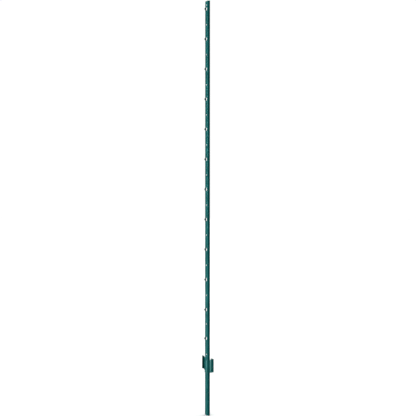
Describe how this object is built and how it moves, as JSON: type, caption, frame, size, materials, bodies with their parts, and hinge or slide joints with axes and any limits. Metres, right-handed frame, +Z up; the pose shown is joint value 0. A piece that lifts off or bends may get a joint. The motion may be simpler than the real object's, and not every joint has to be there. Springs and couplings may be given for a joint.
{
  "type": "fence post",
  "caption": "Flared steel U-post with fold-over wire tabs and round holes up its web, and a winged anchor plate wrapped round its front near the driven end.",
  "frame": {"origin": "cut face of the driven end, at mid width and mid thickness of the web", "axes": "+Z up the post, -Y out of the front of the web (the side the tabs stand on), +X to the right seen from the front"},
  "size_m": [0.0972, 0.0248, 2.134],
  "materials": {
    "green_paint": "semi-gloss baked enamel, dark blue green",
    "weld_paint": "the same enamel over a rippled weld bead"
  },
  "bodies": {
    "post": {"post_channel": "green_paint", "anchor_plate": "green_paint", "anchor_weld_left_upper": "weld_paint", "anchor_weld_left_lower": "weld_paint", "anchor_weld_right_upper": "weld_paint", "anchor_weld_right_lower": "weld_paint"},
    "tab_01": {"wire_tab_01": "green_paint"},
    "tab_02": {"wire_tab_02": "green_paint"},
    "tab_03": {"wire_tab_03": "green_paint"},
    "tab_04": {"wire_tab_04": "green_paint"},
    "tab_05": {"wire_tab_05": "green_paint"},
    "tab_06": {"wire_tab_06": "green_paint"},
    "tab_07": {"wire_tab_07": "green_paint"},
    "tab_08": {"wire_tab_08": "green_paint"},
    "tab_09": {"wire_tab_09": "green_paint"},
    "tab_10": {"wire_tab_10": "green_paint"},
    "tab_11": {"wire_tab_11": "green_paint"},
    "tab_12": {"wire_tab_12": "green_paint"}
  },
  "joints": [
    {"name": "tab_01_bend", "type": "hinge", "parent": "post", "child": "tab_01", "pos_m": [-0.004, 0, 2.0935], "axis": [0, 0, 1], "range_deg": [0, 72]},
    {"name": "tab_02_bend", "type": "hinge", "parent": "post", "child": "tab_02", "pos_m": [-0.004, 0, 1.9385], "axis": [0, 0, 1], "range_deg": [0, 72]},
    {"name": "tab_03_bend", "type": "hinge", "parent": "post", "child": "tab_03", "pos_m": [-0.004, 0, 1.7835], "axis": [0, 0, 1], "range_deg": [0, 72]},
    {"name": "tab_04_bend", "type": "hinge", "parent": "post", "child": "tab_04", "pos_m": [-0.004, 0, 1.6285], "axis": [0, 0, 1], "range_deg": [0, 72]},
    {"name": "tab_05_bend", "type": "hinge", "parent": "post", "child": "tab_05", "pos_m": [-0.004, 0, 1.4735], "axis": [0, 0, 1], "range_deg": [0, 72]},
    {"name": "tab_06_bend", "type": "hinge", "parent": "post", "child": "tab_06", "pos_m": [-0.004, 0, 1.3185], "axis": [0, 0, 1], "range_deg": [0, 72]},
    {"name": "tab_07_bend", "type": "hinge", "parent": "post", "child": "tab_07", "pos_m": [-0.004, 0, 1.1635], "axis": [0, 0, 1], "range_deg": [0, 72]},
    {"name": "tab_08_bend", "type": "hinge", "parent": "post", "child": "tab_08", "pos_m": [-0.004, 0, 1.0085], "axis": [0, 0, 1], "range_deg": [0, 72]},
    {"name": "tab_09_bend", "type": "hinge", "parent": "post", "child": "tab_09", "pos_m": [-0.004, 0, 0.8535], "axis": [0, 0, 1], "range_deg": [0, 72]},
    {"name": "tab_10_bend", "type": "hinge", "parent": "post", "child": "tab_10", "pos_m": [-0.004, 0, 0.6985], "axis": [0, 0, 1], "range_deg": [0, 72]},
    {"name": "tab_11_bend", "type": "hinge", "parent": "post", "child": "tab_11", "pos_m": [-0.004, 0, 0.5435], "axis": [0, 0, 1], "range_deg": [0, 72]},
    {"name": "tab_12_bend", "type": "hinge", "parent": "post", "child": "tab_12", "pos_m": [-0.004, 0, 0.395], "axis": [0, 0, 1], "range_deg": [0, 72]}
  ]
}
